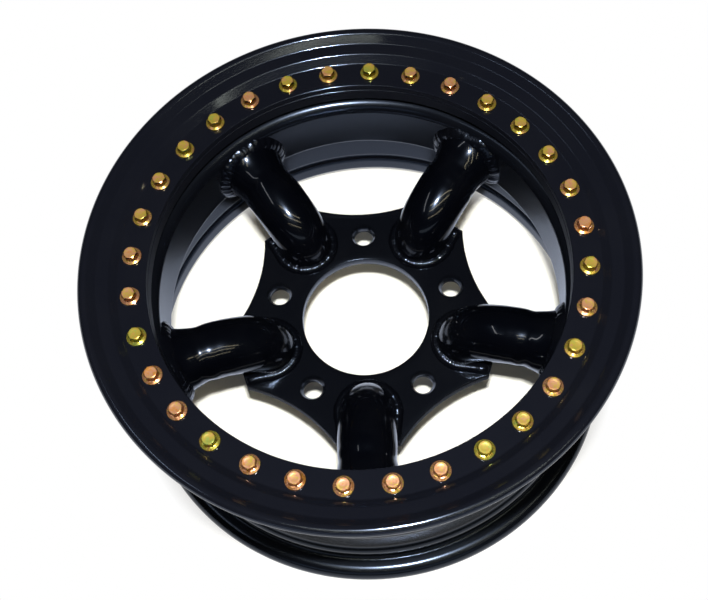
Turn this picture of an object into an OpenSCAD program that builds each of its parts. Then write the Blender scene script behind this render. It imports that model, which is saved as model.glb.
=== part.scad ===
// Steel off-road road wheel whose outer tyre bead is clamped under a bolted ring.
// The origin is the centre of the hub bore on the mounting face of the centre plate.
// +Z points out of the vehicle, from the mounting face to the clamp ring. Sizes in mm.

/* [View] */
// Sub-part to draw

/* [Centre plate] */
// Diameter of the hub bore
hub_bore_d = 114.3; // [100:0.1:116]
// Diameter of the lug hole circle
lug_circle_d = 165.1; // [163:0.1:166]
// Diameter of each lug hole
lug_hole_d = 17.6; // [15:0.1:18]
// Outer diameter of the conical seat of a lug hole
lug_seat_d = 22.6; // [21:0.1:24]
// Included angle of the conical seat
lug_seat_angle = 60; // [60:1:90]
// Thickness of the plate
plate_t = 10; // [9:0.5:11]
// Distance from the flat end of each point of the plate to the drop well
tip_gap = 50.4; // [49.4:0.1:51.2]
// Metal left between a lug hole and the hollow side of the plate
lug_margin = 13.55; // [12.5:0.05:14.5]
// Radius of the hollow sides
plate_side_r = 143.4; // [135:0.1:150]

/* [Tube spokes] */
// Radius of the tube through the bends
tube_r = 24.8; // [24:0.1:25]
// Wall of the tube
tube_wall = 3.2; // [2.5:0.1:4]
// Centreline radius of the tight bend above the plate
tight_bend_r = 38; // [37:0.5:39]
// Centreline radius of the wide bend
wide_bend_r = 90; // [86:1:94]
// Rise of the centreline where the tight bend becomes the wide one
mid_rise = 27; // [25:0.5:29]
// Rise of the centreline at the rim end
end_rise = 4; // [3:0.5:5]
// Depth of the crease between the wide bend and the flare
crease = 0.4; // [0.3:0.1:0.6]
// Length of the flare at the rim end
flare_l = 24; // [22:0.5:25]
// Radius of the curve of the flare
flare_curve_r = 46; // [45:1:48]
// Radius of the tube where it meets the barrel
sleeve_r = 30.9; // [30.5:0.1:31]

/* [Barrel] */
// Thickness of the barrel sheet
barrel_wall = 4; // [3.6:0.1:4.2]
// Outer radius of the bead seats
seat_r = 202.8; // [202.4:0.1:203]
// Depth of the drop well, from the bead seats to its inner side
well_depth = 31.6; // [31.2:0.1:31.8]
// Height of the inboard tyre flange over the bead seat
flange_h = 18; // [17.2:0.1:19.2]
// Diameter of the valve hole in the drop well
valve_hole_d = 11.3; // [8.8:0.1:15.9]
// Height of the valve hole over the mounting face
valve_z = 72; // [68:0.5:76]

/* [Clamp ring] */
// Width of both rings, from their inner edge to the bead seat
ring_width = 29.6; // [29.2:0.1:29.8]
// Thickness of the inner ring
inner_ring_t = 12; // [11:0.5:13]
// Thickness of the clamp ring
clamp_t = 6.6; // [6.2:0.1:7]
// Radius of the round lip of the clamp ring
lip_r = 4.7; // [4.4:0.1:5]
// Rise of the middle of the lip over the seat of the bolts
lip_rise = 10.3; // [9.8:0.1:10.8]
// Distance of the circle of bolts from the bead seat
bolt_inset = 16.6; // [16.2:0.1:17.8]

/* [Bolts] */
// Number of bolts round the rings
bolt_count = 32; // [16:1:32]
// Diameter of the shank
shank_d = 8; // [7:0.1:8]
// Length of the shank under the head
shank_l = 20; // [18:0.5:21]
// Diameter of the flange of the head
bolt_flange_d = 16.4; // [15:0.1:17]
// Width across the flats of the head
bolt_flats = 12; // [11:0.1:12.4]
// Height of the head with its flange
bolt_head_h = 8; // [7:0.1:8.5]

/* [Welds] */
// Leg of the weld between a tube and the plate
plate_leg = 5.5; // [4.5:0.1:6]
// Leg of the weld between a tube and the barrel
rim_leg = 6; // [5:0.1:6.5]
// Depth of the groove weld between the inner ring and the barrel
groove = 3.6; // [3:0.1:3.8]

/* [Hidden] */
$fn = 96;
far = 260;
chamfer = 0.6;
spoke_count = 5;
spoke_phase = 54;
bolt_phase = 6.71;

// Black paint, the thinner paint on the welds, and yellow zinc plating
ring_black = [0.06, 0.06, 0.065];
tube_black = [0.04, 0.04, 0.045];
weld_black = [0.08, 0.08, 0.085];
yellow_zinc = [0.72, 0.58, 0.26];

// Radii that follow from the bead seat and from the lug holes
well_r = seat_r - well_depth;
flange_r = seat_r + flange_h;
ring_inner_r = seat_r - ring_width;
bolt_circle_r = seat_r - bolt_inset;
plate_tip_r = well_r - tip_gap;
plate_waist_r = (lug_circle_d + lug_hole_d) / 2 + lug_margin;

// Levels of the outer side, from the mounting face
barrel_top_z = 99;
inner_ring_top_z = barrel_top_z + inner_ring_t;
clamp_gap = 0.4;
bolt_seat_z = inner_ring_top_z + clamp_gap + clamp_t;

// Lap of pieces that are joined end to end
lap = 0.5;

// Clearances between the shank and the two rings
clamp_hole_gap = 0.5;
thread_gap = 0.1;

// Finest step of a rounded corner, and the radius under which a corner stays sharp
bend_step = 9;
bend_min = 0.5;

// Middle line of the barrel sheet, from the tip of the inboard flange to the weld at the inner ring
half_wall = barrel_wall / 2;
well_c = well_r + half_wall;
flange_z = -60.8;
ledge_drop = 4.4;
ledge_r = seat_r - ledge_drop;
ledge_end_z = 7;
low_corner_z = 34.3;
shoulder_z = 92.2;
barrel_line = [
    [flange_r - half_wall, -70],
    [flange_r - half_wall, flange_z],
    [seat_r - half_wall, flange_z],
    [seat_r - half_wall - 0.9, -43],
    [seat_r + 1.2, -36],
    [ledge_r, -30],
    [ledge_r, ledge_end_z],
    [well_c, low_corner_z],
    [well_c, shoulder_z],
    [seat_r - half_wall, 94.8],
    [seat_r - half_wall, barrel_top_z],
];
barrel_bends = [0, 7.5, 5.5, 6, 5, 6, 6, 4, 9, 4, 0];

// The stretch of the barrel that the tubes meet
meet_line = [for (i = [5 : 9]) barrel_line[i]];
meet_bends = [for (i = [5 : 9]) barrel_bends[i]];

// Upper side of the clamp ring, from its inner edge to the lip: a slope up from the flat land of
// the bolts, a shelf that rises gently, and a short rise to the lip
land_end = 6.6;
slope_end = 0.2;
slope_h = 6.1;
shelf_end = 10.7;
shelf_h = 8.1;
lip_start = 14.2;
lip_drop = 0.8;
lip_out = 18.4;
clamp_top = [
    [ring_inner_r, bolt_seat_z],
    [seat_r - land_end, bolt_seat_z],
    [seat_r + slope_end, bolt_seat_z + slope_h],
    [seat_r + shelf_end, bolt_seat_z + shelf_h],
    [seat_r + lip_start, bolt_seat_z + lip_rise - lip_drop],
];
lip_c = [seat_r + lip_out, bolt_seat_z + lip_rise];

// Path of a tube in its own upright plane: x away from the axis, y up
tight_gap = 8.2;
foot_drop = 4;
tight_c = [plate_tip_r + tight_gap, foot_drop];
mid_point = tight_c + tight_bend_r * [-sin(mid_rise), cos(mid_rise)];
wide_turn = mid_rise - end_rise;
wide_end = wide_bend_r * [sin(wide_turn), cos(wide_turn) - 1];
sleeve_l = 28;

// Foot of a tube on the plate, taken as a circle for the weld
foot_inset = 28.8;
foot_c = plate_tip_r - foot_inset;
foot_r = tube_r + 0.4;
foot_turn = 8;

// Unit direction of the run of a line from point i to the next
function run(p, i) = (p[i + 1] - p[i]) / norm(p[i + 1] - p[i]);

// Quarter turn to the left
function left(v) = [-v[1], v[0]];

// Angle by which a line turns at point i, positive to the left
function turn(p, i) = atan2(left(run(p, i - 1)) * run(p, i), run(p, i - 1) * run(p, i));

// Distance from corner i to the start of its bend
function setback(p, bends, i) = (i == 0 || i == len(p) - 1) ? 0 : bends[i] * tan(abs(turn(p, i)) / 2);

// Point i moved by t to the right of the line, so that all runs move by t
function inset(p, i, t) =
    i == 0 ? p[i] - t * left(run(p, i)) :
    i == len(p) - 1 ? p[i] - t * left(run(p, i - 1)) :
    p[i] - t / pow(cos(turn(p, i) / 2), 2) * (left(run(p, i - 1)) + left(run(p, i))) / 2;

// Corner i of a line as a list of points: rounded with its bend, and moved by t to the right
function corner(p, bends, i, t) =
    let (
        inner = i > 0 && i < len(p) - 1,
        angle = inner ? turn(p, i) : 0,
        r = inner ? bends[i] + sign(angle) * t : 0
    )
    r < bend_min ? [inset(p, i, t)] :
    let (
        side = sign(angle) * left(run(p, i - 1)),
        centre = p[i] - setback(p, bends, i) * run(p, i - 1) + bends[i] * side,
        from = atan2(-side[1], -side[0]),
        steps = ceil(abs(angle) / bend_step)
    )
    [for (k = [0 : steps]) centre + r * [cos(from + angle * k / steps), sin(from + angle * k / steps)]];

// A line with all its corners rounded, moved by t to the right
function rounded(p, bends, t) = [for (i = [0 : len(p) - 1]) each corner(p, bends, i, t)];

// A list in reverse order
function reverse(p) = [for (i = [len(p) - 1 : -1 : 0]) p[i]];

// Section of a bent sheet from its middle line, reaching to_left and to_right of it
module sheet(p, bends, to_left, to_right) {
    polygon(concat(rounded(p, bends, to_right), reverse(rounded(p, bends, -to_left))));
}

// One copy for each tube, turned to its place
module at_spoke(i) {
    rotate([0, 0, spoke_phase + (i - 1) * 360 / spoke_count]) children();
}

// One copy for each bolt, turned to its place
module at_bolts() {
    for (i = [0 : bolt_count - 1])
        rotate([0, 0, bolt_phase + i * 360 / bolt_count])
            translate([bolt_circle_r, 0, 0]) children();
}

// Barrel with drop well, bead seats, safety hump and inboard flange
module rim_barrel() {
    color(ring_black)
        difference() {
            rotate_extrude() sheet(barrel_line, barrel_bends, half_wall, half_wall);
            valve_hole();
        }
}

// Hole for the valve, through the drop well half way between two tubes
module valve_hole() {
    rotate([0, 0, spoke_phase - 1.5 * 360 / spoke_count])
        translate([well_r - barrel_wall, 0, valve_z])
            rotate([0, 90, 0]) cylinder(d = valve_hole_d, h = 3 * barrel_wall);
}

// The barrel sheet and all that is outside it, as far as the tubes reach
module beyond_barrel() {
    inner_side = rounded(meet_line, meet_bends, -half_wall);
    rotate_extrude()
        polygon(concat(
            [[far, inner_side[0][1]], [far, inner_side[len(inner_side) - 1][1]]],
            reverse(inner_side)
        ));
}

// Threaded ring welded to the outer end of the barrel, with a groove for the weld
module inner_ring() {
    color(ring_black)
        difference() {
            rotate_extrude()
                polygon([
                    [ring_inner_r, barrel_top_z + chamfer],
                    [ring_inner_r + chamfer, barrel_top_z],
                    [seat_r - groove, barrel_top_z],
                    [seat_r, barrel_top_z + groove],
                    [seat_r, inner_ring_top_z - chamfer],
                    [seat_r - chamfer, inner_ring_top_z],
                    [ring_inner_r + chamfer, inner_ring_top_z],
                    [ring_inner_r, inner_ring_top_z - chamfer],
                ]);
            at_bolts()
                translate([0, 0, barrel_top_z - 1])
                    cylinder(d = shank_d + 2 * thread_gap, h = inner_ring_t + 2);
        }
}

// Groove weld between the inner ring and the barrel, flush with the bead seat
module ring_weld() {
    color(weld_black)
        rotate_extrude()
            polygon([
                [seat_r - groove, barrel_top_z],
                [seat_r, barrel_top_z],
                [seat_r, barrel_top_z + groove],
            ]);
}

// Loose ring that clamps the outer tyre bead, with a stepped section and a round lip
module clamp_ring() {
    lip_foot = lip_c + 0.97 * lip_r * [cos(63), -sin(63)];
    color(ring_black)
        difference() {
            rotate_extrude() {
                polygon([
                    inset(clamp_top, 0, clamp_t) + [0, chamfer],
                    inset(clamp_top, 0, clamp_t) + [chamfer, 0],
                    inset(clamp_top, 1, clamp_t),
                    inset(clamp_top, 2, clamp_t),
                    inset(clamp_top, 3, clamp_t),
                    lip_foot,
                    lip_c,
                    clamp_top[4],
                    clamp_top[3],
                    clamp_top[2],
                    clamp_top[1],
                    clamp_top[0] + [chamfer, 0],
                    clamp_top[0] - [0, chamfer],
                ]);
                translate(lip_c) circle(lip_r);
            }
            at_bolts()
                translate([0, 0, bolt_seat_z - clamp_t - 1])
                    cylinder(d = shank_d + 2 * clamp_hole_gap, h = clamp_t + 2);
        }
}

// Outline of the centre plate: five blunt points with hollow sides between them
module plate_outline() {
    difference() {
        rotate(spoke_phase + 180 / spoke_count)
            circle(r = plate_tip_r / cos(180 / spoke_count), $fn = spoke_count);
        for (i = [1 : spoke_count])
            rotate(spoke_phase + (i - 0.5) * 360 / spoke_count)
                translate([plate_waist_r + plate_side_r, 0]) circle(plate_side_r);
    }
}

// Centre plate with hub bore and five lug holes
module centre_plate() {
    seat_h = (lug_seat_d - lug_hole_d) / 2 / tan(lug_seat_angle / 2);
    color(ring_black)
        difference() {
            linear_extrude(plate_t) plate_outline();
            translate([0, 0, -1]) cylinder(d = hub_bore_d, h = plate_t + 2);
            translate([0, 0, plate_t - chamfer])
                cylinder(d1 = hub_bore_d, d2 = hub_bore_d + 2 * chamfer, h = chamfer);
            for (i = [1 : spoke_count])
                rotate([0, 0, spoke_phase + (i - 0.5) * 360 / spoke_count])
                    translate([lug_circle_d / 2, 0, 0]) {
                        translate([0, 0, -1]) cylinder(d = lug_hole_d, h = plate_t + 2);
                        translate([0, 0, plate_t - seat_h])
                            cylinder(d1 = lug_hole_d, d2 = lug_seat_d, h = seat_h);
                    }
        }
}

// One bend of a tube, from its start angle on, in the frame where the two bends join
module tube_bend(bend_r, start, angle, inner) {
    translate([0, 0, -bend_r])
        rotate([90, 0, 0])
            rotate_extrude(start = start, angle = angle)
                translate([bend_r, 0])
                    difference() {
                        circle(tube_r);
                        if (inner > 0) circle(inner);
                    }
}

// Straight rim end of a tube with its flare and sleeve, hollow or solid
module tube_end(hollow) {
    centre = tube_r - crease + flare_curve_r;
    rotate_extrude() {
        if (hollow)
            intersection() {
                square([centre, flare_l]);
                translate([centre, 0])
                    difference() {
                        circle(flare_curve_r + tube_wall);
                        circle(flare_curve_r);
                    }
            }
        else
            difference() {
                square([centre, flare_l]);
                translate([centre, 0]) circle(flare_curve_r);
            }
        translate([hollow ? sleeve_r - tube_wall : 0, flare_l])
            square([hollow ? tube_wall : sleeve_r, sleeve_l]);
    }
}

// The frame at the joint of the two bends: x along the tube, z across it
module at_mid_point() {
    translate([mid_point[0], 0, mid_point[1]]) rotate([0, -mid_rise, 0]) children();
}

// The frame at the end of the wide bend: z along the tube, set back by a small lap
module at_wide_end() {
    translate([wide_end[0], 0, wide_end[1]])
        rotate([0, 90 + wide_turn, 0])
            translate([0, 0, -lap]) children();
}

// A tube before its ends are cut to fit the plate and the barrel
module tube(hollow) {
    inner = hollow ? tube_r - tube_wall : 0;
    at_mid_point() {
        tube_bend(tight_bend_r, 90, 90 - mid_rise, inner);
        tube_bend(wide_bend_r, 90 - wide_turn, wide_turn, inner);
        at_wide_end() tube_end(hollow);
    }
}

// Space below the upper side of the centre plate
module below_plate() {
    translate([0, 0, plate_t - 2 * tube_r]) cylinder(r = far, h = 2 * tube_r);
}

// One bent tube, cut flat on the plate and fitted to the barrel
module spoke(i) {
    color(tube_black)
        at_spoke(i)
            difference() {
                tube(true);
                below_plate();
                beyond_barrel();
            }
}

// Weld round the foot of a tube, open towards the point of the plate
module plate_weld(i) {
    heel = [foot_c + foot_r * sin(foot_turn), foot_r * cos(foot_turn)];
    run_l = plate_tip_r - foot_c;
    color(weld_black)
        intersection() {
            at_spoke(i)
                difference() {
                    union() {
                        translate([foot_c, 0, plate_t])
                            rotate([0, 0, 90 - foot_turn])
                                rotate_extrude(angle = 180 + 2 * foot_turn)
                                    translate([foot_r, 0]) circle(plate_leg);
                        for (s = [-1, 1])
                            translate([heel[0], s * heel[1], plate_t])
                                rotate([0, 0, -s * foot_turn])
                                    rotate([0, 90, 0])
                                        translate([0, 0, -lap]) {
                                            cylinder(r = plate_leg - lap, h = run_l);
                                            translate([0, -s * 2, run_l - 7]) sphere(plate_leg + lap);
                                        }
                    }
                    tube(false);
                }
            translate([0, 0, plate_t]) linear_extrude(3 * plate_leg) plate_outline();
        }
}

// Weld round the rim end of a tube: a collar along the barrel with its inner edge cut back
module rim_weld(i) {
    toe_r = sleeve_r + rim_leg;
    slant = rim_leg + 1;
    color(weld_black)
        at_spoke(i)
            difference() {
                intersection() {
                    rotate_extrude()
                        sheet(meet_line, meet_bends, half_wall + rim_leg, 0);
                    at_mid_point()
                        at_wide_end() {
                            translate([0, 0, flare_l - slant])
                                cylinder(r1 = toe_r - slant, r2 = toe_r, h = slant);
                            translate([0, 0, flare_l]) cylinder(r = toe_r, h = sleeve_l);
                        }
                }
                tube(false);
                beyond_barrel();
            }
}

// Flanged hexagon bolt with a dished head, its seat at the origin
module bolt() {
    point_h = 1;
    rim_h = 0.8;
    flange_h = 2;
    corner_d = bolt_flats / cos(30);
    difference() {
        union() {
            translate([0, 0, -shank_l])
                cylinder(d1 = shank_d - 2 * point_h, d2 = shank_d, h = point_h);
            translate([0, 0, point_h - shank_l]) cylinder(d = shank_d, h = shank_l - point_h);
            cylinder(d = bolt_flange_d, h = rim_h);
            translate([0, 0, rim_h])
                cylinder(d1 = bolt_flange_d, d2 = corner_d, h = flange_h - rim_h);
            intersection() {
                cylinder(d = corner_d, h = bolt_head_h, $fn = 6);
                cylinder(d1 = bolt_flats + 2 * bolt_head_h, d2 = bolt_flats - 1, h = bolt_head_h);
            }
        }
        translate([0, 0, bolt_head_h - 1])
            cylinder(d1 = bolt_flats - 6, d2 = bolt_flats - 3, h = 1.01);
    }
}

// All the bolts of the clamp ring
module ring_bolts() {
    color(yellow_zinc) at_bolts() translate([0, 0, bolt_seat_z]) bolt();
}

module spoke_1() spoke(1);
module spoke_2() spoke(2);
module spoke_3() spoke(3);
module spoke_4() spoke(4);
module spoke_5() spoke(5);
module plate_weld_1() plate_weld(1);
module plate_weld_2() plate_weld(2);
module plate_weld_3() plate_weld(3);
module plate_weld_4() plate_weld(4);
module plate_weld_5() plate_weld(5);
module rim_weld_1() rim_weld(1);
module rim_weld_2() rim_weld(2);
module rim_weld_3() rim_weld(3);
module rim_weld_4() rim_weld(4);
module rim_weld_5() rim_weld(5);

rim_barrel();
inner_ring();
ring_weld();
clamp_ring();
centre_plate();
spoke_1();
spoke_2();
spoke_3();
spoke_4();
spoke_5();
plate_weld_1();
plate_weld_2();
plate_weld_3();
plate_weld_4();
plate_weld_5();
rim_weld_1();
rim_weld_2();
rim_weld_3();
rim_weld_4();
rim_weld_5();
ring_bolts();
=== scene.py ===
"""Looks of a steel off-road wheel whose outer tyre bead is clamped under a bolted ring.

Every piece is a surface worked out with numpy in millimetres, in the frame of the solids:
the origin is the centre of the hub bore on the mounting face, and +Z points out of the vehicle.
The wheel lies on its inboard flange on a pale floor.
"""

import math

import bmesh
import bpy
import numpy as np
from mathutils import Matrix


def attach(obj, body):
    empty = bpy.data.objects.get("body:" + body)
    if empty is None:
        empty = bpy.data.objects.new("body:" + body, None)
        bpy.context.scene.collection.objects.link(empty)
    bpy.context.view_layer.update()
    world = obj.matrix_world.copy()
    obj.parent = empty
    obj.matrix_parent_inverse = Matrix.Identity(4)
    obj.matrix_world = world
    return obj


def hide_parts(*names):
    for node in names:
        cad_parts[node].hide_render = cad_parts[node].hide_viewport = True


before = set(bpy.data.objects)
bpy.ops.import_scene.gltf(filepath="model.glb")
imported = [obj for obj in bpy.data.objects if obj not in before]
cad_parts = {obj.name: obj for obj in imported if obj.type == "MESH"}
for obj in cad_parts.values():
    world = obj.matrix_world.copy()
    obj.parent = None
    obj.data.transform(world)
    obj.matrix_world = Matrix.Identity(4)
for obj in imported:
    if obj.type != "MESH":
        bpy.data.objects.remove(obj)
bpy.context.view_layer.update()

MM = 0.001
FLOOR_Z = -70.0

# Hub end
BORE_R = 57.15
LUG_CIRCLE_R = 82.55
LUG_HOLE_R = 8.8
LUG_SEAT_R = 11.3
PLATE_T = 10.0
PLATE_TIP_R = 120.8
PLATE_SIDE_R = 143.4
PLATE_SIDE_C = 248.3
SPOKES = 5
SPOKE_PHASE = 54.0

# Tubes
TUBE_R = 24.8
TUBE_WALL = 3.2
TIGHT_C = (129.0, 4.0)
TIGHT_R = 38.0
WIDE_R = 90.0
MID_RISE = 27.0
END_RISE = 4.0
CREASE = 0.7
FLARE_L = 24.0
FLARE_CURVE_R = 46.0

# Rings and bolts
BOLTS = 32
BOLT_PHASE = 6.71
BOLT_CIRCLE_R = 186.2
BOLT_SEAT_Z = 118.0
RING_INNER_R = 173.2
INNER_RING_R = 202.8
INNER_RING_LOW_Z = 99.0
INNER_RING_TOP_Z = 111.0
GROOVE = 3.6
CLAMP_T = 6.6
LIP_C = (221.2, 128.3)
LIP_R = 4.7
TURN_STEPS = 384

# Barrel: middle line of the sheet from the inboard flange to the inner ring, and its bends
BARREL_HALF_WALL = 2.0
BARREL_EDGE_R = 0.7
WELL_R = 173.2
BARREL_LINE = np.array([
    (218.8, -70), (218.8, -60.8), (200.8, -60.8), (199.9, -43), (204, -36), (198.4, -30),
    (198.4, 7), (WELL_R, 34.3), (WELL_R, 85.3), (200.8, 94.8), (200.8, 99),
], float)
BARREL_BENDS = np.array([0, 7.5, 5.5, 6, 5, 6, 6, 4, 9, 4, 0], float)
VALVE_Z = 72.0
VALVE_R = 5.65
VALVE_ANGLE = -54.0
VALVE_ROWS = VALVE_Z + np.array([-6.3, -3.1, 0.0, 3.1, 6.3])
VALVE_BLOCK = 4


# Plane curves

def unit(v):
    """Each vector divided by its length."""
    return v / np.linalg.norm(v, axis=-1, keepdims=True)


def left(v):
    """Plane vectors turned a quarter to the left."""
    return np.stack([-v[..., 1], v[..., 0]], -1)


def shifted(line, t):
    """Corners of an open line moved by t to its right: square to the run at both ends,
    and along the bisector at the other corners, so that every run moves by t."""
    side = left(unit(np.diff(line, axis=0)))
    before, after = np.vstack([side[:1], side]), np.vstack([side, side[-1:]])
    return line - t * (before + after) / (1 + (before * after).sum(1, keepdims=True))


def rounded(corners, radii, steps=8, support=0.35):
    """Closed outline with round corners. Each corner becomes an arc of its radius that touches
    both runs, at equal angles, with one more point on each run close to the end of the arc."""
    corners = np.asarray(corners, float)
    into = unit(corners - np.roll(corners, 1, 0))
    out = np.roll(into, -1, 0)
    turn = np.arctan2((left(into) * out).sum(1), (into * out).sum(1))
    radii = np.broadcast_to(np.asarray(radii, float), turn.shape)
    back = radii * np.tan(np.abs(turn) / 2)
    run = np.linalg.norm(np.roll(corners, -1, 0) - corners, axis=1)
    free = run - back - np.roll(back, -1)
    lead_out = np.minimum(support, np.maximum(free, 0) / 3)[:, None]
    lead_in = np.roll(lead_out, 1, 0)
    bend = np.sign(turn)[:, None]
    start = corners - into * back[:, None]
    centre = start + bend * radii[:, None] * left(into)
    spoke = start - centre
    angle = turn[:, None] * np.linspace(0, 1, steps + 1)
    arc = (centre[:, None] + spoke[:, None] * np.cos(angle)[..., None]
           + left(spoke)[:, None] * np.sin(angle)[..., None])
    first = arc[:, :1] - into[:, None] * lead_in[:, None]
    last = arc[:, -1:] + out[:, None] * lead_out[:, None]
    points = np.concatenate([first, arc, last], 1).reshape(-1, 2)
    return points[np.linalg.norm(points - np.roll(points, 1, 0), axis=1) > 1e-3]


def with_rows(profile, rows, axis, low, high):
    """A closed outline with extra points where its runs cross the given values of one
    coordinate, between low and high of the other one."""
    other = 1 - axis
    a, b = profile, np.roll(profile, -1, 0)
    found = []
    for row in rows:
        share = (row - a[:, axis]) / np.where(np.abs(b[:, axis] - a[:, axis]) < 1e-9,
                                              np.inf, b[:, axis] - a[:, axis])
        cross = a + share[:, None] * (b - a)
        hit = (share > 1e-6) & (share < 1 - 1e-6)
        hit &= (cross[:, other] > low) & (cross[:, other] < high)
        found += [(np.flatnonzero(hit) + share[hit], cross[hit])]
    place = np.concatenate([np.arange(len(a), dtype=float)] + [f[0] for f in found])
    points = np.concatenate([a] + [f[1] for f in found])
    return points[np.argsort(place, kind="stable")]


def sheet_outline(line, bends, half, tip):
    """Closed section of a bent sheet: its middle line moved by half the wall to both sides,
    where the outer side of a bend has a larger radius and the inner side a smaller one."""
    runs = unit(np.diff(line, axis=0))
    turn = np.zeros(len(line))
    turn[1:-1] = np.sign((left(runs[:-1]) * runs[1:]).sum(1))
    right_r, left_r = bends + turn * half, bends - turn * half
    right_r[[0, -1]] = left_r[[0, -1]] = tip
    corners = np.vstack([shifted(line, half), shifted(line, -half)[::-1]])
    return rounded(corners, np.concatenate([right_r, left_r[::-1]]))


# Surfaces

def quads(rows, columns, round_rows=False, round_columns=False):
    """Corner numbers of the faces between the points of a grid, closed on itself as asked."""
    i = np.arange(rows if round_rows else rows - 1)
    j = np.arange(columns if round_columns else columns - 1)
    i, j = np.meshgrid(i, j, indexing="ij")
    i2, j2 = (i + 1) % rows, (j + 1) % columns
    return np.stack([i * columns + j, i2 * columns + j, i2 * columns + j2, i * columns + j2], -1)


def shell(points, round_rows=False, round_columns=False):
    """A grid of points and its faces."""
    faces = quads(points.shape[0], points.shape[1], round_rows, round_columns)
    return points.reshape(-1, 3), faces.reshape(-1, 4)


def about_axis(radius, angle, z):
    """Point at a radius and an angle in degrees about the wheel's axis, at a height."""
    a = np.radians(angle)
    return np.stack(np.broadcast_arrays(radius * np.cos(a), radius * np.sin(a), z), -1)


def lathe_grid(profile, steps=TURN_STEPS, phase=0.0):
    """A closed outline of radius and height carried once round the axis, in equal steps."""
    angle = phase + 360.0 * np.arange(steps) / steps
    return about_axis(profile[None, :, 0], angle[:, None], profile[None, :, 1])


def border_of(grid, i0, i1, j0, j1):
    """The points round a block of a grid, in order, each corner once. Rows wrap round."""
    rows = grid.shape[0]
    i_up, j_up = np.arange(i0, i1), np.arange(j0, j1)
    i = np.concatenate([i_up, np.full(len(j_up), i1), i1 - (i_up - i0), np.full(len(j_up), i0)])
    j = np.concatenate([np.full(len(i_up), j0), j_up, np.full(len(i_up), j1), j1 - (j_up - j0)])
    return grid[i % rows, j]


def without_blocks(grid, blocks, round_columns=True):
    """A grid with round rows and the faces of some blocks left out, so that holes can go there."""
    rows, columns = grid.shape[:2]
    faces = quads(rows, columns, True, round_columns)
    keep = np.ones(faces.shape[:2], bool)
    for i0, i1, j0, j1 in blocks:
        keep[np.ix_(np.arange(i0, i1) % rows, np.arange(j0, j1))] = False
    return grid.reshape(-1, 3), faces[keep]


def fan(border, edge, steps=3):
    """The surface between a closed border and the edge of a hole in it: every point goes the
    same share of the way from the border to the edge."""
    t = np.linspace(0, 1, steps + 1)[:, None, None]
    return shell(border + (edge - border) * t, False, True)


def circle_towards(border, centre, radius, z):
    """Points of a level circle, each in the direction of one point of a border."""
    out = unit(border[:, :2] - centre)
    return np.column_stack([centre + radius * out, np.full(len(out), z)])


def tunnel(low, top):
    """The wall between two round edges with equal points: the lower one starts at its point
    nearest to the first of the upper one, and runs in the direction that stays close to it."""
    start = np.argmin(np.linalg.norm(low[:, :2] - top[0, :2], axis=1))
    ways = (np.roll(low, -start, 0), np.roll(low[::-1], start + 1, 0))
    gaps = [np.abs(way[:, :2] - top[:, :2]).sum() for way in ways]
    return shell(np.stack([ways[int(np.argmin(gaps))], top]), False, True)


def turned(points, angle):
    """Points turned about the wheel's axis by an angle in degrees."""
    c, s = math.cos(math.radians(angle)), math.sin(math.radians(angle))
    x, y = points[..., 0], points[..., 1]
    return np.stack([c * x - s * y, s * x + c * y, points[..., 2]], -1)


def put(name, shells, material, nodes, sharp=40.0, marks=None):
    """Makes one piece from shells of points and faces. Points that coincide become one, the
    faces turn outwards, and edges sharper than an angle stay sharp. It stands for CAD nodes."""
    counts = np.cumsum([0] + [len(p) for p, _ in shells])
    points = np.concatenate([p for p, _ in shells]) * MM
    faces = np.concatenate([f + n for (_, f), n in zip(shells, counts)])
    mesh = bpy.data.meshes.new(name)
    mesh.vertices.add(len(points))
    mesh.vertices.foreach_set("co", points.ravel())
    mesh.loops.add(faces.size)
    mesh.loops.foreach_set("vertex_index", faces.ravel().astype(np.int32))
    mesh.polygons.add(len(faces))
    mesh.polygons.foreach_set("loop_start", np.arange(0, faces.size, 4, dtype=np.int32))
    mesh.update(calc_edges=True)
    for mark, values in (marks or {}).items():
        mesh.attributes.new(mark, "FLOAT", "POINT").data.foreach_set("value", values)
    work = bmesh.new()
    work.from_mesh(mesh)
    bmesh.ops.remove_doubles(work, verts=work.verts, dist=1.5e-6)
    bmesh.ops.dissolve_degenerate(work, edges=work.edges, dist=1e-7)
    bmesh.ops.recalc_face_normals(work, faces=work.faces)
    work.to_mesh(mesh)
    work.free()
    mesh.shade_smooth()
    mesh.set_sharp_from_angle(angle=math.radians(sharp))
    mesh.materials.append(material)
    thing = bpy.data.objects.new(name, mesh)
    bpy.context.scene.collection.objects.link(thing)
    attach(thing, "root")
    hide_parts(*nodes)
    return thing


# Shader expressions

class Socket:
    """An output of a node that can be used in an expression; each operation adds a Math node."""

    def __init__(self, shader, output):
        self.shader, self.output = shader, output

    def math(self, operation, *values):
        return self.shader.node("ShaderNodeMath", {"operation": operation},
                                dict(enumerate(values)))

    def __add__(self, other):
        return self.math("ADD", self, other)

    def __sub__(self, other):
        return self.math("SUBTRACT", self, other)

    def __rsub__(self, other):
        return self.math("SUBTRACT", other, self)

    def __mul__(self, other):
        return self.math("MULTIPLY", self, other)

    __radd__ = __add__
    __rmul__ = __mul__

    def clipped(self, low=0.0, high=1.0):
        return self.math("MINIMUM", self.math("MAXIMUM", self, low), high)


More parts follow.
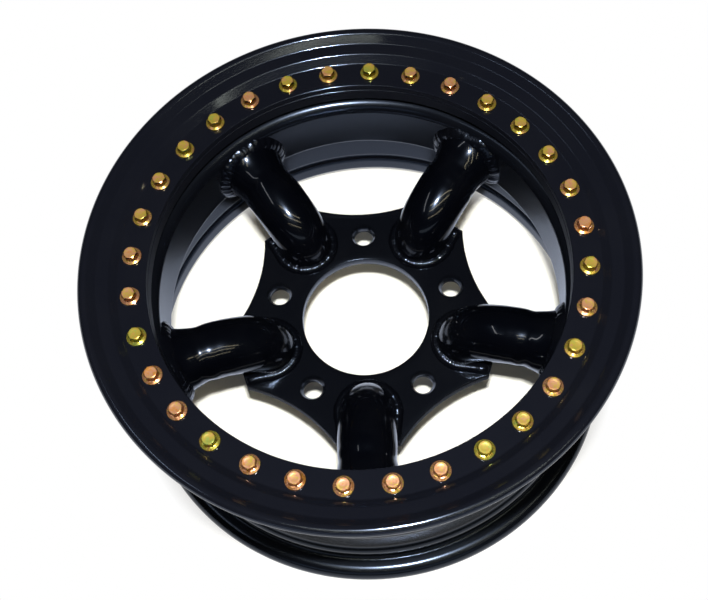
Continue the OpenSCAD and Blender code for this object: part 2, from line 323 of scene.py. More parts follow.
class Shader:
    """The nodes of one material or of the world."""

    def __init__(self, owner):
        owner.use_nodes = True
        self.tree = owner.node_tree
        self.tree.nodes.clear()

    def node(self, kind, settings=None, values=None, output=0):
        """Adds a node of a kind: its settings first, then the values or links of its sockets."""
        made = self.tree.nodes.new(kind)
        for key, value in (settings or {}).items():
            if key == "stops":
                ramp = made.color_ramp.elements
                while len(ramp) < len(value):
                    ramp.new(0.5)
                for stop, (place, colour) in zip(ramp, value):
                    stop.position, stop.color = place, (*colour, 1.0)
            else:
                setattr(made, key, value)
        for key, value in (values or {}).items():
            socket = made.inputs[key]
            if isinstance(value, Socket):
                self.tree.links.new(value.output, socket)
            else:
                socket.default_value = value
        return Socket(self, made.outputs[output])

    def object_place(self):
        """Object coordinates, in metres from the centre of the hub bore."""
        return self.node("ShaderNodeTexCoord", output="Object")

    def noise(self, place, scale, detail=3.0, roughness=0.55):
        """Smooth noise from 0 to 1 with a number of waves per metre."""
        return self.node("ShaderNodeTexNoise", {"noise_dimensions": "3D"},
                         {"Vector": place, "Scale": scale, "Detail": detail,
                          "Roughness": roughness}, "Fac")

    def between(self, value, low, high):
        """Rises evenly from 0 at low to 1 at high."""
        return self.node("ShaderNodeMapRange", {"clamp": True},
                         {"Value": value, "From Min": low, "From Max": high})

    def mix(self, share, first, second):
        """Colour between two colours."""
        return self.node("ShaderNodeMix", {"data_type": "RGBA"},
                         {"Factor": share, 6: first, 7: second}, 2)

    def bump(self, height, distance, strength=1.0):
        """Normals of a surface raised by a height in metres."""
        return self.node("ShaderNodeBump", None,
                         {"Height": height, "Distance": distance, "Strength": strength})

    def finish(self, surface, kind="ShaderNodeOutputMaterial"):
        """Ends the nodes in the output."""
        made = self.tree.nodes.new(kind)
        self.tree.links.new(surface.output, made.inputs["Surface"])


def new_material(name):
    """An empty material and its shader."""
    material = bpy.data.materials.new(name)
    return material, Shader(material)


BLACK = (0.0022, 0.0026, 0.0040, 1)
# Painted cool tint on every reflection of the black paints, standing in for bluish light
PAINTED_COOL_REFLECTION_TINT = (0.56, 0.71, 1.0, 1)


def black_paint(name, rough, rough_swing, peel, grain, dust, gloss, shine=0.4, colour=BLACK):
    """Black enamel or powder coat whose reflections carry a painted cool tint: a soft orange peel
    and a fine grain in the bump, patches that are a little duller, dust that makes the black a
    little paler, and a thin clear skin whose weight is the gloss. The shine is how strongly it
    mirrors. Where the attribute "cut" is 1 the face is dull."""
    material, s = new_material(name)
    place = s.object_place()
    patches = s.noise(place, 22.0, 4.0)
    fine = s.noise(place, 900.0, 2.0)
    waves = s.noise(place, 160.0, 1.0)
    specks = s.between(s.noise(place, 1500.0, 2.0), 0.66, 0.74)
    pale = (0.020, 0.021, 0.023, 1)
    base = s.mix((specks * dust + s.between(patches, 0.45, 0.8) * 0.06).clipped(), colour, pale)
    roughness = rough + (patches - 0.5) * rough_swing + specks * 0.2 * dust
    cut = s.node("ShaderNodeAttribute", {"attribute_name": "cut"}, None, "Fac")
    normal = s.bump(waves * peel + fine * grain, 0.001)
    bright = s.node("ShaderNodeBsdfPrincipled", None, {
        "Base Color": base, "Roughness": roughness.clipped(0.03, 0.9), "Normal": normal,
        # the reflections get the painted cool tint
        "Specular IOR Level": shine, "Specular Tint": PAINTED_COOL_REFLECTION_TINT,
        "Coat Weight": gloss, "Coat Roughness": 0.04, "Coat IOR": 1.38,
    })
    dull = s.node("ShaderNodeBsdfPrincipled", None, {
        "Base Color": base, "Roughness": 0.45, "Specular IOR Level": 0.06, "Normal": normal,
    })
    s.finish(s.node("ShaderNodeMixShader", None, {0: cut, 1: bright, 2: dull}))
    return material


def zinc_plating():
    """Yellow chromate on zinc: each bolt has its own tone between orange, pink, gold, yellow
    and green, which drifts over the head. The attribute "smooth" is 0 on the dull top of the
    head and 1 on its bright sides."""
    material, s = new_material("yellow zinc plating")
    place = s.object_place()
    tone = s.node("ShaderNodeAttribute", {"attribute_name": "tone"}, None, "Fac")
    smooth = s.node("ShaderNodeAttribute", {"attribute_name": "smooth"}, None, "Fac")
    drift = s.noise(place, 150.0, 3.0) - 0.5
    fine = s.noise(place, 700.0, 3.0)
    shade = (tone * 0.6 + 0.16 + drift * 1.5 + (fine - 0.5) * 1.3).clipped()
    base = s.node("ShaderNodeValToRGB", {"stops": [
        (0.0, (0.40, 0.17, 0.03)),
        (0.25, (0.40, 0.19, 0.12)),
        (0.5, (0.38, 0.24, 0.05)),
        (0.75, (0.33, 0.26, 0.03)),
        (1.0, (0.22, 0.26, 0.05)),
    ]}, {"Fac": shade})
    s.finish(s.node("ShaderNodeBsdfPrincipled", None, {
        "Base Color": base,
        "Metallic": 0.35 + smooth * 0.65,
        "Roughness": (0.36 - smooth * 0.20 + (fine - 0.5) * 0.3).clipped(0.1, 0.6),
        "Normal": s.bump(fine, 0.00008, 0.6),
    }))
    return material


barrel_black = black_paint("black barrel enamel", 0.20, 0.06, 0.010, 0.002, 0.10, 0.0, 0.4)
ring_black = black_paint("black ring powder coat", 0.12, 0.04, 0.008, 0.003, 0.20, 0.0, 0.6,
                         (0.0044, 0.0050, 0.0080, 1))
plate_black = black_paint("black plate enamel", 0.17, 0.08, 0.010, 0.004, 0.20, 0.0, 0.35)
tube_black = black_paint("black tube enamel", 0.19, 0.05, 0.020, 0.001, 0.04, 0.75, 0.14,
                         (0.0007, 0.0009, 0.0018, 1))
weld_black = black_paint("black enamel on welds", 0.20, 0.08, 0.012, 0.003, 0.10, 0.15, 0.35,
                         (0.0012, 0.0014, 0.0024, 1))
zinc = zinc_plating()


# Barrel

barrel_section = sheet_outline(BARREL_LINE, BARREL_BENDS, BARREL_HALF_WALL, BARREL_EDGE_R)
barrel_outline = with_rows(barrel_section, VALVE_ROWS, 1, WELL_R - 8, WELL_R + 7)


def barrel_piece():
    """The closed outline of the sheet carried round the axis. At the valve hole a block of the
    inner and of the outer face gives way to a fan down to the hole, and a tunnel joins both."""
    grid = lathe_grid(barrel_outline, phase=VALVE_ANGLE)
    on_rows = (np.abs(barrel_outline[:, 1] - VALVE_ROWS[:, None]) < 1e-6).any(0)
    blocks, shells, edges = [], [], []
    for outer in (False, True):
        columns = np.flatnonzero(on_rows & ((barrel_outline[:, 0] > WELL_R) == outer))
        block = (-VALVE_BLOCK, VALVE_BLOCK, columns.min(), columns.max())
        blocks.append(block)
        flat = turned(border_of(grid, *block), -VALVE_ANGLE)
        around = np.arctan2(flat[:, 2] - VALVE_Z, flat[:, 1])
        if outer:
            apart = np.angle(np.exp(1j * (around - inner_around[:, None])))
            flat, around = flat[np.argmin(np.abs(apart), 1)], inner_around
        inner_around = around
        radius = WELL_R + (BARREL_HALF_WALL if outer else -BARREL_HALF_WALL)
        y, z = VALVE_R * np.cos(around), VALVE_Z + VALVE_R * np.sin(around)
        share = np.linspace(0, 1, 5)[:, None]
        y = flat[:, 1] + (y - flat[:, 1]) * share
        z = flat[:, 2] + (z - flat[:, 2]) * share
        fan_points = turned(np.stack([np.sqrt(radius ** 2 - y ** 2), y, z], -1), VALVE_ANGLE)
        shells.append(shell(fan_points, False, True))
        edges.append(fan_points[-1])
    shells.append(without_blocks(grid, blocks))
    shells.append(shell(np.stack(edges), False, True))
    return put("barrel", shells, barrel_black, ["rim_barrel"])


barrel_piece()


# Rings

HOLE_BLOCK = 4
HOLE_ROWS = BOLT_CIRCLE_R + np.array([-7.5, -3.75, 0.0, 3.75, 7.5])


def bolted_ring(name, outline, hole_r, low_z, top_z, material, nodes):
    """A closed outline carried round the axis, with a round hole for each bolt: a block of the
    upper and of the lower face gives way to a fan down to the hole, and a tunnel joins both.
    The faces on the ring's bore are marked as cut ones."""
    outline = with_rows(outline, HOLE_ROWS, 0, low_z - 0.01, top_z + 0.01)
    grid = lathe_grid(outline, phase=BOLT_PHASE)
    on_rows = (np.abs(outline[:, 0] - HOLE_ROWS[:, None]) < 1e-6).any(0)
    blocks, shells = [], []
    for k in range(BOLTS):
        centre = about_axis(BOLT_CIRCLE_R, BOLT_PHASE + 360.0 * k / BOLTS, 0)[:2]
        first = k * TURN_STEPS // BOLTS - HOLE_BLOCK
        edges = []
        for z in (low_z, top_z):
            columns = np.flatnonzero(on_rows & (np.abs(outline[:, 1] - z) < 1e-3))
            block = (first, first + 2 * HOLE_BLOCK, columns.min(), columns.max())
            blocks.append(block)
            border = border_of(grid, *block)
            edges.append(circle_towards(border, centre, hole_r, z))
            shells.append(fan(border, edges[-1]))
        shells.append(tunnel(*edges))
    shells.append(without_blocks(grid, blocks))
    radius = np.concatenate([np.hypot(p[..., 0], p[..., 1]).ravel() for p, _ in shells])
    cut = (radius < RING_INNER_R + 0.05).astype(float)
    return put(name, shells, material, nodes, 40.0, {"cut": cut})


CLAMP_TOP = np.array([
    (RING_INNER_R, BOLT_SEAT_Z), (196.2, BOLT_SEAT_Z), (203.0, BOLT_SEAT_Z + 6.1),
    (213.5, BOLT_SEAT_Z + 8.1), (217.0, BOLT_SEAT_Z + 9.5),
])
# The underside runs a plate's thickness below the top; the inner side of the lip slants
clamp_outline = rounded(
    [
        *shifted(CLAMP_TOP, CLAMP_T)[:4],
        (LIP_C[0] + LIP_R, 125.66), (LIP_C[0] + LIP_R, LIP_C[1] + LIP_R),
        (219.26, LIP_C[1] + LIP_R), (212.09, 125.83),
        *CLAMP_TOP[2::-1],
    ],
    [0.7, 4.0, 5.0, 3.0, LIP_R, LIP_R, LIP_R, 3.0, 3.0, 2.0, 0.8],
)
bolted_ring("clamp_ring_piece", clamp_outline, 4.5, BOLT_SEAT_Z - CLAMP_T, BOLT_SEAT_Z,
            ring_black, ["clamp_ring"])

inner_outline = rounded(
    [
        (RING_INNER_R, INNER_RING_LOW_Z), (INNER_RING_R - GROOVE, INNER_RING_LOW_Z),
        (INNER_RING_R, INNER_RING_LOW_Z + GROOVE), (INNER_RING_R, INNER_RING_TOP_Z),
        (RING_INNER_R, INNER_RING_TOP_Z),
    ],
    [0.6, 0.0, 0.0, 0.6, 0.6],
)
bolted_ring("inner_ring_piece", inner_outline, 4.1, INNER_RING_LOW_Z, INNER_RING_TOP_Z,
            ring_black, ["inner_ring"])


def groove_weld():
    """The triangle between inner ring and barrel carried round the axis, with its outer side
    swelling a little in a row of weld ripples."""
    steps, ripple_count = 1440, 480
    v = np.linspace(0, 1, 9)
    angle = np.arange(steps)[:, None] * 360.0 / steps
    swell = 0.12 + 0.10 * np.sin(np.radians(angle * ripple_count) - 20 * (v - 0.5) ** 2)
    radius = INNER_RING_R - 0.24 + np.sin(np.pi * v) * swell
    outer = about_axis(radius, angle, INNER_RING_LOW_Z + GROOVE * v[None, :])
    inner = about_axis(INNER_RING_R - GROOVE + 0.1, angle, np.array([[INNER_RING_LOW_Z + 0.05]]))
    points = np.concatenate([outer, inner], 1)
    return put("groove_weld", [shell(points, True, True)], weld_black, ["ring_weld"])


groove_weld()


# Bolts

BOLT_FLAT = 5.1
HEAD_H = 8.0
BOLT_STEPS = 48

# Tone of each bolt, anticlockwise from the first one: 0 orange, 1 pink, 2 gold, 3 yellow, 4 green
BOLT_TONES = "02333124231332211401410111431313"


def bolt_points():
    """One bolt with its seat at the origin, as radius and height over the angle. The head's
    radius is its flat divided by the cosine of the angle from the middle of the flat; its upper
    edge is where a cone cuts that prism, so it is highest in the middle of each flat."""
    angle = np.arange(BOLT_STEPS) * 360.0 / BOLT_STEPS
    hexagon = BOLT_FLAT / np.cos(np.radians((angle + 30) % 60 - 30))
    cone_top = HEAD_H - (hexagon - 4.8) / 1.4
    rows = [
        (0, 7.8), (2.2, 7.8), (2.6, 7.84),
        (3.4, 7.99), (3.6, 8.0), (4.66, 8.0),
        (4.78, 7.95), (hexagon - 0.08, cone_top + 0.06), (hexagon, cone_top - 0.1),
        (hexagon, 2.85), (hexagon + 0.2, 2.5), (6.2, 2.35),
        (7.85, 1.5), (8.05, 1.3), (8.1, 1.1),
        (8.1, 0.25),
        (7.8, 0.0), (4.0, 0.0), (4.0, -0.4),
        (4.0, -18.8), (3.9, -19.1), (3.0, -20.0),
        (0, -20.0),
    ]
    radius, z = (np.stack([np.broadcast_to(row[k], BOLT_STEPS) for row in rows]) for k in (0, 1))
    return about_axis(radius, angle[None, :], z)


# How smooth each row of a bolt is: 0 on top of the head, 1 on the hexagon and below
BOLT_SMOOTH = [0.0] * 5 + [0.1, 0.3, 0.8, 1.0, 1.0, 0.8, 0.55, 0.5, 0.8] + [1.0] * 9


def bolts_piece():
    """Copies of the bolt round the rings, each turned about its own axis by a different angle."""
    one = bolt_points()
    rng = np.random.default_rng(32)
    spin = rng.uniform(0, 60, BOLTS)
    shells, marks = [], []
    for k in range(BOLTS):
        bolt = turned(one, spin[k]) + np.array([BOLT_CIRCLE_R, 0, BOLT_SEAT_Z])
        bolt = turned(bolt, BOLT_PHASE + 360.0 * k / BOLTS)
        shells.append(shell(bolt, False, True))
        marks.append(np.full(bolt.shape[0] * bolt.shape[1], int(BOLT_TONES[k]) / 4))
    return put("bolts", shells, zinc, ["ring_bolts"], 16.0,
               {"tone": np.concatenate(marks),
                "smooth": np.tile(np.repeat(BOLT_SMOOTH, BOLT_STEPS), BOLTS)})


bolts_piece()


# Centre plate

SIDE_STEPS = 240
END_STEPS = 12
CUT_TICK = 0.14
LUG_BLOCK_SHARE = 0.31


def edge_y(x):
    """Half width of a point of the plate at a distance from the axis."""
    cx, cy = (PLATE_SIDE_C * f(math.pi / SPOKES) for f in (math.cos, math.sin))
    return cy - np.sqrt(np.maximum(PLATE_SIDE_R ** 2 - (cx - x) ** 2, 0))


def plate_outline():
    """Outline of the plate: for each point of the star its blunt end, then a hollow arc of radius
    143.4 mm to the next one, whose radius swings a little from step to step as a flame cuts."""
    middle = math.pi / SPOKES
    centre = PLATE_SIDE_C * np.array([math.cos(middle), math.sin(middle)])
    half_y = edge_y(PLATE_TIP_R)
    first = math.atan2(half_y - centre[1], PLATE_TIP_R - centre[0]) % (2 * math.pi)
    last = 2 * (middle + math.pi) - first
    sweep = np.linspace(first, last, SIDE_STEPS)
    end_y = np.linspace(-half_y, half_y, END_STEPS + 2)[1:-1]
    end = np.column_stack([np.full(END_STEPS, PLATE_TIP_R), end_y, np.zeros(END_STEPS)])
    rng = np.random.default_rng(5)
    sides = []
    for k in range(SPOKES):
        radius = PLATE_SIDE_R + rng.uniform(0, CUT_TICK, SIDE_STEPS) * rng.choice([0.2, 1], SIDE_STEPS)
        radius[[0, -1]] = PLATE_SIDE_R
        arc = np.column_stack([centre[0] + radius * np.cos(sweep),
                               centre[1] + radius * np.sin(sweep), 0 * sweep])
        sides.append(turned(np.vstack([end, arc]), SPOKE_PHASE + 72.0 * k)[:, :2])
    return np.concatenate(sides)


def inward(outline, distance):
    """A closed outline moved inwards by a distance, along the mean of the two normals."""
    run = unit(np.roll(outline, -1, 0) - outline)
    normal = left(run)
    both = normal + np.roll(normal, 1, 0)
    cosine = (normal * np.roll(normal, 1, 0)).sum(1, keepdims=True)
    return outline + distance * both / (1 + cosine)


def plate_piece():
    """Rings between the hub bore and the outline, by even shares of the way, on both faces; the
    rim of each face turns over in a quarter round. Blocks give way to fans round the lug holes,
    whose edges run down a conical seat."""
    outline = plate_outline()
    around = np.degrees(np.arctan2(outline[:, 1], outline[:, 0]))
    quarter = np.radians(np.linspace(90, 0, 5))
    edge_r = 0.8
    share = np.array([0.0, 0.1, 0.2, 0.32, 0.44, 0.56, 0.68, 0.8, 0.9, 1.0])
    bore_r = BORE_R + 0.6

    def face(z, edge):
        inner = about_axis(bore_r if z > 0 else BORE_R + 0.2, around, 0)[:, :2]
        plan = inner[:, None] + (edge - inner)[:, None] * share[None, :, None]
        return np.concatenate([plan, np.full(plan.shape[:2] + (1,), z)], -1)

    inset = inward(outline, edge_r)
    top, low = face(PLATE_T, inset), face(0.0, inset)
    rim = [np.column_stack([inward(outline, edge_r * (1 - math.cos(a))),
                            np.full(len(outline), PLATE_T - edge_r * (1 - math.sin(a)))])
           for a in quarter]
    rim += [np.column_stack([r[:, :2], PLATE_T - r[:, 2]]) for r in rim[::-1]]
    bore = [about_axis(r, around, z) for r, z in (
        (BORE_R + 0.6, PLATE_T), (BORE_R + 0.15, PLATE_T - 0.3), (BORE_R, PLATE_T - 0.7),
        (BORE_R, 0.3), (BORE_R + 0.2, 0.0))]
    shells = [shell(np.stack(rim[1:-1]), False, True), shell(np.stack(rim[:2]), False, True),
              shell(np.stack(rim[-2:]), False, True), shell(np.stack(bore), False, True)]
    columns = len(outline) // SPOKES
    seat_h = (LUG_SEAT_R - LUG_HOLE_R) / math.tan(math.radians(30))
    blocks = []
    for k in range(SPOKES):
        angle = SPOKE_PHASE + 36 + 72.0 * k
        centre = about_axis(LUG_CIRCLE_R, angle, 0)[:2]
        middle = k * columns + END_STEPS + (SIDE_STEPS - 1) // 2
        half = round(LUG_BLOCK_SHARE * SIDE_STEPS)
        block = (middle - half, middle + half + 1, 1, 8)
        blocks.append(block)
        rings = []
        for grid, z, radius in ((top, PLATE_T, LUG_SEAT_R), (low, 0.0, LUG_HOLE_R + 0.2)):
            border = border_of(grid, *block)
            edge = circle_towards(border, centre, radius, z)
            shells.append(fan(border, edge, 4))
            rings.append((border, edge))
        border = rings[0][0]
        steps = [(LUG_SEAT_R, PLATE_T), (LUG_SEAT_R - 0.05, PLATE_T - 0.09),
                 (LUG_HOLE_R + 0.05, PLATE_T - seat_h + 0.1), (LUG_HOLE_R, PLATE_T - seat_h - 0.2),
                 (LUG_HOLE_R, 0.3), (LUG_HOLE_R + 0.2, 0.0)]
        wall = [circle_towards(border, centre, r, z) for r, z in steps[:-1]] + [rings[1][1]]
        shells.append(shell(np.stack(wall), False, True))
    shells += [without_blocks(grid, blocks, False) for grid in (top, low)]
    cut = np.concatenate([np.full(len(p), float(n == 0)) for n, (p, _) in enumerate(shells)])
    return put("plate", shells, plate_black, ["centre_plate"], 40.0, {"cut": cut})


plate_piece()


# Tubes

FIBRES = 96
TUBE_ROWS = 130
TIGHT_L = math.radians(90 - MID_RISE) * TIGHT_R
WIDE_L = math.radians(MID_RISE - END_RISE) * WIDE_R
BENT_L = TIGHT_L + WIDE_L
SLEEVE_L = 28.0

# Inner side of the barrel's section from the hump to the shoulder, upwards
barrel_inner = barrel_section[(barrel_section[:, 1] > -20) & (barrel_section[:, 1] < 88)]
barrel_inner = barrel_inner[barrel_inner[:, 0] < np.interp(
    barrel_inner[:, 1], [-20, 7, 34.3, 88], [198.4, 198.4, WELL_R, WELL_R])]
barrel_inner = barrel_inner[np.argsort(barrel_inner[:, 1])]


def well_radius(z):
    """Inner radius of the barrel at a height."""
    return np.interp(z, barrel_inner[:, 1], barrel_inner[:, 0])


def tube_axis(s):
    """Point and rise of the middle line at a length from the foot: a tight arc that starts
    straight up, a wide arc that goes on from it, and a straight end."""
    s = np.asarray(s, float)
    tight = np.minimum(s, TIGHT_L) / TIGHT_R
    x = TIGHT_C[0] - TIGHT_R * np.cos(tight)
    z = TIGHT_C[1] + TIGHT_R * np.sin(tight)
    rise = math.pi / 2 - tight
    mid = math.radians(MID_RISE)
    wide = np.clip(s - TIGHT_L, 0, WIDE_L) / WIDE_R
    x = x + WIDE_R * (math.sin(mid) - np.sin(mid - wide))
    z = z + WIDE_R * (np.cos(mid - wide) - math.cos(mid))
    rise = rise - wide
    rest = np.maximum(s - BENT_L, 0)
    return x + rest * np.cos(rise), z + rest * np.sin(rise), rise


def tube_radius(s, around, seed):
    """Outer radius of a tube: even through the bends, pinched at their end, then a flare with
    the curve of a circle. Shallow wrinkles cross it where the bends meet the flare."""
    past = s - BENT_L
    flare = np.clip(past, 0, FLARE_L)
    radius = TUBE_R + FLARE_CURVE_R - np.sqrt(FLARE_CURVE_R ** 2 - flare ** 2)
    radius = radius - CREASE * np.exp(-((past - 0.5) / 5.0) ** 2)
    rng = np.random.default_rng(seed)
    for _ in range(4):
        place, phase, spread = rng.uniform(-16, 6), rng.uniform(0, 2 * math.pi), rng.uniform(2.5, 5)
        depth = rng.uniform(0.18, 0.45)
        lean = 5.0 * np.sin(around + phase)
        radius = radius - depth * np.exp(-((past - place - lean) / spread) ** 2) * (
            0.6 + 0.4 * np.cos(around - phase))
    return np.minimum(radius, TUBE_R - CREASE + 6.5)


def tube_surface(s, around, seed, inside=0.0):
    """Point of a tube at a length along it and an angle round it, 0 on the hub side of the foot
    and on the upper side of the rim end, a distance inside the outer face."""
    x, z, rise = tube_axis(s)
    radius = tube_radius(s, around, seed) - inside
    out, across = radius * np.cos(around), radius * np.sin(around)
    return np.stack([x - out * np.sin(rise), across, z + out * np.cos(rise)], -1)


def crossing(values, s):
    """Length at which each column of values first goes above zero, between two samples."""
    k = np.maximum(np.argmax(values > 0, axis=0), 1)
    columns = np.arange(values.shape[1])
    before, after = values[k - 1, columns], values[k, columns]
    return s[k - 1] + (s[k] - s[k - 1]) * before / (before - after)


def tube_ends(around, seed, inside=0.0, foot_z=PLATE_T):
    """Where each fibre of a tube leaves a level near the foot and reaches the barrel."""
    s = np.linspace(0, BENT_L + FLARE_L + SLEEVE_L, 900)
    p = tube_surface(s[:, None], around[None, :], seed, inside)
    start = crossing(p[..., 2] - foot_z, s)
    end = crossing(np.hypot(p[..., 0], p[..., 1]) - well_radius(p[..., 2]), s)
    return start, end


def tube_piece(k):
    """Fibres along the tube from the plate to the barrel, on the outer and on the inner face,
    closed across the wall at both ends."""
    around = np.arange(FIBRES) * 2 * math.pi / FIBRES
    share = np.linspace(0, 1, TUBE_ROWS)[:, None]
    skins = []
    for inside in (0.0, TUBE_WALL):
        start, end = tube_ends(around, k, inside)
        s = start + (end - start) * share
        skins.append(tube_surface(s, around[None, :], k, inside))
    points = np.concatenate([skins[0], skins[1][::-1]])
    points = turned(points, SPOKE_PHASE + 72.0 * (k - 1))
    return put(f"tube_{k}", [shell(points, True, True)], tube_black, [f"spoke_{k}"])


def ripples(length, v, pitch, seed):
    """Weld ripples: a row of crescents across a bead, steep on one side, of uneven pitch."""
    rng = np.random.default_rng(seed)
    wander = sum(rng.uniform(0.2, 0.5) * np.sin(length / rng.uniform(6, 17) + rng.uniform(0, 6))
                 for _ in range(4))
    phase = (length + wander - 3.2 * (2 * v - 1) ** 2) / pitch
    saw = phase - np.floor(phase)
    return saw ** 0.7 * (1 - saw ** 6)


FOOT_C = 92.0
FOOT_R = 25.2
FOOT_TURN = 8.0
PLATE_LEG = 5.5


def plate_weld_piece(k):
    """A round ridge along a U: an arc round the foot and two straight legs that end in lumps
    at the corners of the plate. Points that would lie in the tube move out to its face."""
    turn = math.radians(FOOT_TURN)
    leg_l = 24.5
    arc_l = FOOT_R * (math.pi + 2 * turn)
    length = np.linspace(-leg_l, arc_l + leg_l, 260)
    angle = math.pi / 2 - turn + np.clip(length, 0, arc_l) / FOOT_R
    x = FOOT_C + FOOT_R * np.cos(angle)
    y = FOOT_R * np.sin(angle)
    past = np.where(length < 0, length, np.maximum(length - arc_l, 0))
    x = x - past * np.sin(angle)
    y = y + past * np.cos(angle)
    out = np.stack([np.cos(angle), np.sin(angle)], -1)
    v = np.linspace(0, 1, 25)
    rise = np.pi * v
    bead = ripples(length[:, None] + 40, v[None, :], 2.6, 10 + k)
    to_end = np.minimum(length + leg_l, arc_l + leg_l - length)
    lump = 1 + 0.14 * np.exp(-((to_end - 6.5) / 4.0) ** 2)
    close = np.sqrt(np.clip(1 - (1 - np.clip(to_end / 5.0, 0, 1)) ** 2, 0.0, 1))
    rng = np.random.default_rng(80 + k)
    uneven = sum(rng.uniform(0.01, 0.03) * np.sin(length / scale + rng.uniform(0, 6))
                 for scale in (1.1, 1.9, 3.7, 7.0))
    size = (PLATE_LEG * lump * close)[:, None] * (0.93 + 0.09 * bead + uneven[:, None])
    reach, height = size * np.cos(rise), size * np.sin(rise) * 0.98
    px = x[:, None] + out[:, :1] * reach
    py = y[:, None] + out[:, 1:] * reach
    pz = PLATE_T - 0.2 + height
    across = np.hypot(px - TIGHT_C[0], pz - TIGHT_C[1]) - TIGHT_R
    inside = np.hypot(across, py)
    push = np.where(inside < TUBE_R - 0.4, (TUBE_R - 0.4) / np.maximum(inside, 1e-6), 1.0)
    new_across = across * push
    swing = np.arctan2(pz - TIGHT_C[1], px - TIGHT_C[0])
    px = TIGHT_C[0] + (TIGHT_R + new_across) * np.cos(swing)
    pz = TIGHT_C[1] + (TIGHT_R + new_across) * np.sin(swing)
    py = py * push
    px = np.minimum(px, PLATE_TIP_R - 0.1)
    limit = edge_y(px) - 0.1
    py = np.clip(py, -limit, limit)
    pz = np.maximum(pz, PLATE_T - 0.2)
    points = turned(np.stack([px, py, pz], -1), SPOKE_PHASE + 72.0 * (k - 1))
    middle = points[:, :1] * 0.5 + points[:, -1:] * 0.5
    body = np.concatenate([points, middle], 1)
    caps = [np.broadcast_to(body[i].mean(0), body[i].shape) for i in (0, -1)]
    body = np.concatenate([caps[0][None], body, caps[1][None]])
    return put(f"plate_bead_{k}", [shell(body, False, True)], weld_black,
               [f"plate_weld_{k}"], 60.0)


RIM_LEG = 6.0


def rim_weld_piece(k):
    """A bead round the rim end of a tube. In the plane of the unrolled barrel the end of the
    tube is a closed curve; one toe of the bead runs outside it, the other one up the tube, and
    between them it swells, as powers of the sine and the cosine, with ripples across it."""
    count = 400
    around = np.arange(count) * 2 * math.pi / count
    _, end = tube_ends(around, k)
    foot = tube_surface(end, around, k)
    toe = tube_surface(end - RIM_LEG * 1.05, around, k)
    arc = np.concatenate([[0], np.cumsum(np.linalg.norm(np.diff(barrel_inner, axis=0), axis=1))])
    w = np.interp(foot[:, 2], barrel_inner[:, 1], arc)
    theta = np.arctan2(foot[:, 1], foot[:, 0])
    flat = np.stack([well_radius(foot[:, 2]) * theta, w], -1)
    run = unit(np.roll(flat, -1, 0) - np.roll(flat, 1, 0))
    out = -left(run)
    out = out * np.sign((out * (flat - flat.mean(0))).sum(1, keepdims=True))
    far = flat + RIM_LEG * out
    z = np.interp(far[:, 1], arc, barrel_inner[:, 1])
    radius = well_radius(z)
    wall = about_axis(radius, np.degrees(far[:, 0] / radius), z)
    step = np.linalg.norm(np.roll(foot, -1, 0) - foot, axis=1)
    length = np.concatenate([[0], np.cumsum(step)[:-1]])
    total = step.sum()
    pitch = total / round(total / 2.9)
    v = np.linspace(0, 1, 17)[None, :]
    bead = ripples(length[:, None], v, pitch, 20 + k)
    rng = np.random.default_rng(60 + k)
    lumps = sum(rng.uniform(0.015, 0.04) * np.sin(turns * around + rng.uniform(0, 6))
                for turns in (5, 8, 13, 21, 34))
    swell = 0.93 + 0.05 * bead + lumps[:, None]
    power = 1.35
    a = (np.sin(v * math.pi / 2) ** power * swell)[..., None]
    b = (np.cos(v * math.pi / 2) ** power * swell)[..., None]
    face = foot[:, None] + (wall - foot)[:, None] * a + (toe - foot)[:, None] * b
    buried = foot + unit(foot - toe) * 0.5
    points = np.concatenate([face, buried[:, None]], 1)
    points = turned(points, SPOKE_PHASE + 72.0 * (k - 1))
    return put(f"rim_bead_{k}", [shell(points, True, True)], weld_black,
               [f"rim_weld_{k}"], 60.0)


for k in range(1, SPOKES + 1):
    tube_piece(k)
    plate_weld_piece(k)
    rim_weld_piece(k)


# Floor, light and camera

def floor_piece():
    """A large level sheet under the inboard flange. Far from the wheel it is plain white to the
    camera and in reflections. Near it, it keeps the shadow, which a faint painted glow to the
    camera lightens, and in reflections it shows a painted darker blue instead of its own colour."""
    size = 6000.0
    corners = np.array([(-1, -1), (1, -1), (1, 1), (-1, 1)]) * size * MM
    mesh = bpy.data.meshes.new("floor")
    points = np.column_stack([corners, np.full(4, FLOOR_Z * MM)])
    mesh.from_pydata(points.tolist(), [], [(0, 1, 2, 3)])
    material, s = new_material("white floor")
    path = s.node("ShaderNodeLightPath", output="Is Camera Ray")
    glossy = s.node("ShaderNodeLightPath", output="Is Glossy Ray")
    through = s.node("ShaderNodeLightPath", output="Is Transmission Ray")
    place = s.node("ShaderNodeVectorMath", {"operation": "LENGTH"},
                   {0: s.object_place()}, "Value")
    outside = s.between(place, 0.200, 0.245)
    # A faint painted glow lightens the floor to the camera, its shadows too; far out it glows white as
    # the backdrop
    seen = (path * 0.025 + (path + glossy + through) * outside).clipped()
    # Painted reflection: glossy rays see the floor in a darker blue than its own warm white
    colour = s.mix(glossy, (0.97, 0.96, 0.87, 1), (0.52, 0.58, 0.72, 1))
    plain = s.node("ShaderNodeBsdfDiffuse", None, {"Color": colour})
    glow = s.node("ShaderNodeEmission", None, {"Color": (1, 1, 1, 1), "Strength": 1.0})
    s.finish(s.node("ShaderNodeMixShader", None, {0: seen, 1: plain, 2: glow}))
    mesh.materials.append(material)
    thing = bpy.data.objects.new("floor", mesh)
    bpy.context.scene.collection.objects.link(thing)


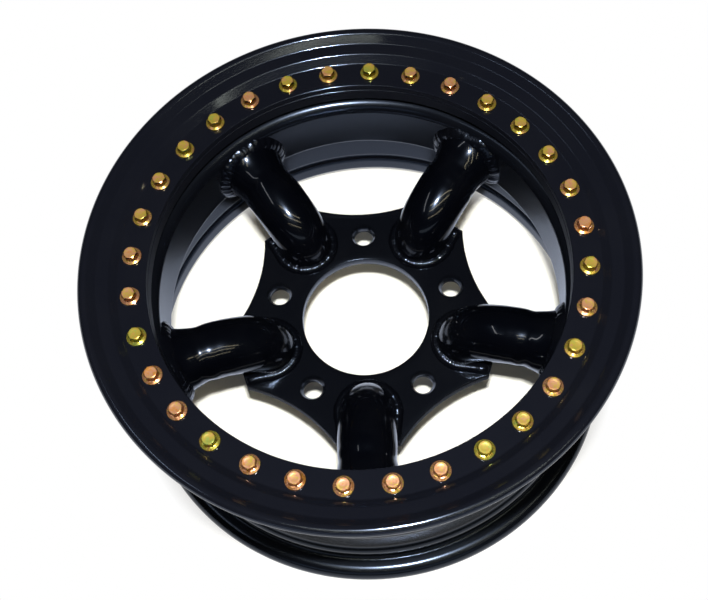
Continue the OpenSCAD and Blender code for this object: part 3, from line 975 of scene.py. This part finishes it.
def soft_light(name, place, aim, width, height, power, colour=(1, 1, 1)):
    """A rectangular lamp at a place, turned towards a point. Millimetres and watts."""
    data = bpy.data.lights.new(name, "AREA")
    data.shape = "RECTANGLE"
    data.size, data.size_y = width * MM, height * MM
    data.energy = power
    data.color = colour
    lamp = bpy.data.objects.new(name, data)
    back = unit(np.array(place, float) - np.array(aim, float))
    side = unit(np.cross((0.0, 1.0, 0.001), back))
    up = np.cross(back, side)
    lamp.matrix_world = Matrix([
        (side[0], up[0], back[0], place[0] * MM),
        (side[1], up[1], back[1], place[1] * MM),
        (side[2], up[2], back[2], place[2] * MM),
        (0, 0, 0, 1),
    ])
    bpy.context.scene.collection.objects.link(lamp)


def room():
    """A dim room with a white horizon that the camera sees as white."""
    world = bpy.data.worlds.new("room")
    bpy.context.scene.world = world
    s = Shader(world)
    camera = s.node("ShaderNodeLightPath", output="Is Camera Ray")
    dim = s.node("ShaderNodeBackground", None, {"Color": (0.8, 0.9, 1, 1), "Strength": 0.012})
    white = s.node("ShaderNodeBackground", None, {"Color": (1, 1, 1, 1), "Strength": 1.0})
    s.finish(s.node("ShaderNodeMixShader", None, {0: camera, 1: dim, 2: white}),
             "ShaderNodeOutputWorld")


def photo_camera():
    """Camera from the circles of the wheel in the photograph: its direction has an elevation
    and a roll, and its place is a distance back from the centre of the outer lip."""
    focal, wide = 1053.957, 708.0
    elevation, roll, turn = math.radians(65.3063), math.radians(-7.0488), 4.68
    back = np.array([0, -math.cos(elevation), math.sin(elevation)])
    right, up = np.array([1.0, 0, 0]), np.array([0, math.sin(elevation), math.cos(elevation)])
    place = back * 844.245 + right * 9.6 + up * -41.537
    across = math.cos(roll) * right + math.sin(roll) * up
    upward = -math.sin(roll) * right + math.cos(roll) * up
    across, upward, back, place = (turned(v, turn) for v in (across, upward, back, place))
    place = (place + np.array([0, 0, 129.4])) * MM
    data = bpy.data.cameras.new("photo camera")
    data.sensor_fit, data.sensor_width = "HORIZONTAL", 36.0
    data.lens = focal / wide * 36.0
    data.shift_x, data.shift_y = (354.0 - 375.0) / wide, (305.0 - 300.0) / wide
    data.clip_start = 0.01
    thing = bpy.data.objects.new("photo camera", data)
    thing.matrix_world = Matrix([
        (across[0], upward[0], back[0], place[0]),
        (across[1], upward[1], back[1], place[1]),
        (across[2], upward[2], back[2], place[2]),
        (0, 0, 0, 1),
    ])
    bpy.context.scene.collection.objects.link(thing)
    bpy.context.scene.camera = thing


floor_piece()
soft_light("main lamp", (50, -308, 1000), (0, 0, 0), 60, 36, 16.5)
soft_light("wall behind", (0, -2100, 770), (0, 0, 60), 2600, 420, 2.6, (0.74, 0.86, 1.0))
soft_light("left strip", (-620, -60, 1050), (0, 0, 60), 30, 650, 0.55)
for step, y in enumerate((-400, -690, -1200)):
    soft_light(f"roof strip {step + 1}", (350, y, 1300), (350, y, 0), 1300, 30, 2.0,
               (1.0, 0.86, 0.56))
room()
photo_camera()
bpy.context.scene.view_settings.view_transform = "Standard"
